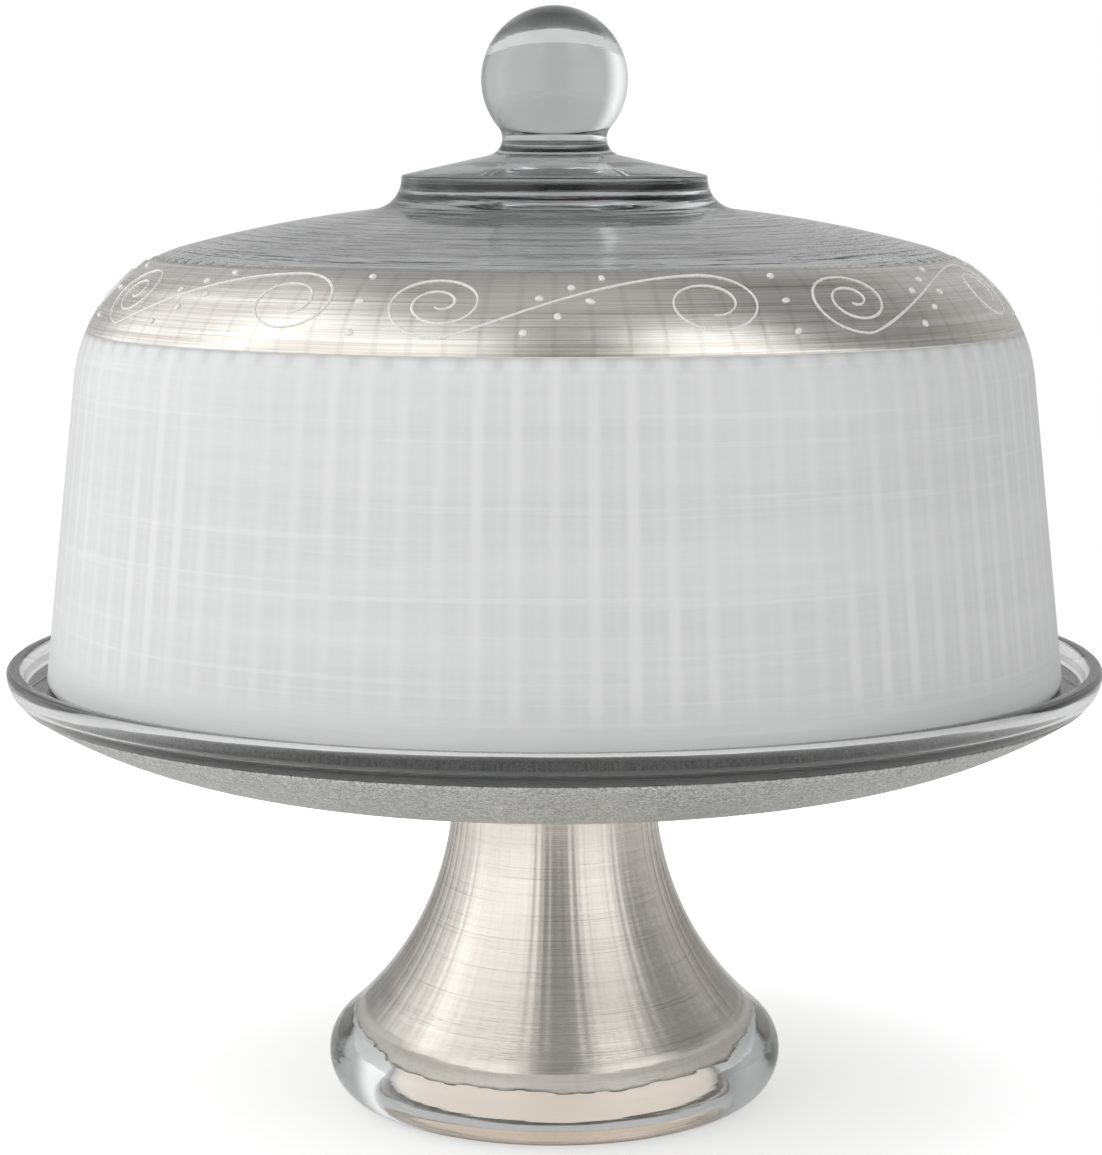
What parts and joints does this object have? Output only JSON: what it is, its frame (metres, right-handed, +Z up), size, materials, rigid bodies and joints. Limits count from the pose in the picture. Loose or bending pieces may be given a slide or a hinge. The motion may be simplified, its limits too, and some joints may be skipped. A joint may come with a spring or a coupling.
{
  "type": "domed cake stand",
  "caption": "Footed glass cake stand with a lift-off glass dome, ball knob, silver scroll band, white frosted wall and brushed silver pedestal.",
  "frame": {"origin": "centre of the foot's underside, on the axis of the glass", "axes": "+Z up along the axis of the dome and the pedestal; the middle of one scroll motif faces -Y, 2.4 degrees towards +X"},
  "size_m": [0.317, 0.317, 0.3183],
  "materials": {
    "smoke_glass": "clear pressed glass with a faint grey-green tint",
    "frost_paint": "satin white translucent paint brushed around the wall",
    "silver_paint": "silver metallic paint brushed around the shoulder",
    "pearl_liner": "raised pearl white liner paint",
    "speckle_paint": "speckled silver-grey metallic paint",
    "champagne_paint": "warm silver metallic paint brushed around the pedestal"
  },
  "bodies": {
    "stand": {"cake_plate": "smoke_glass", "plate_undercoat": "speckle_paint", "pedestal": "smoke_glass", "pedestal_coat": "champagne_paint"},
    "dome": {"dome_bell": "smoke_glass", "ball_knob": "smoke_glass", "frost_coat": "frost_paint", "silver_band": "silver_paint", "scroll_lines": "pearl_liner", "scroll_dots": "pearl_liner"}
  },
  "joints": [
    {"name": "dome_lift", "type": "slide", "parent": "stand", "child": "dome", "axis": [0, 0, 1], "range_m": [0, 0.2]}
  ]
}
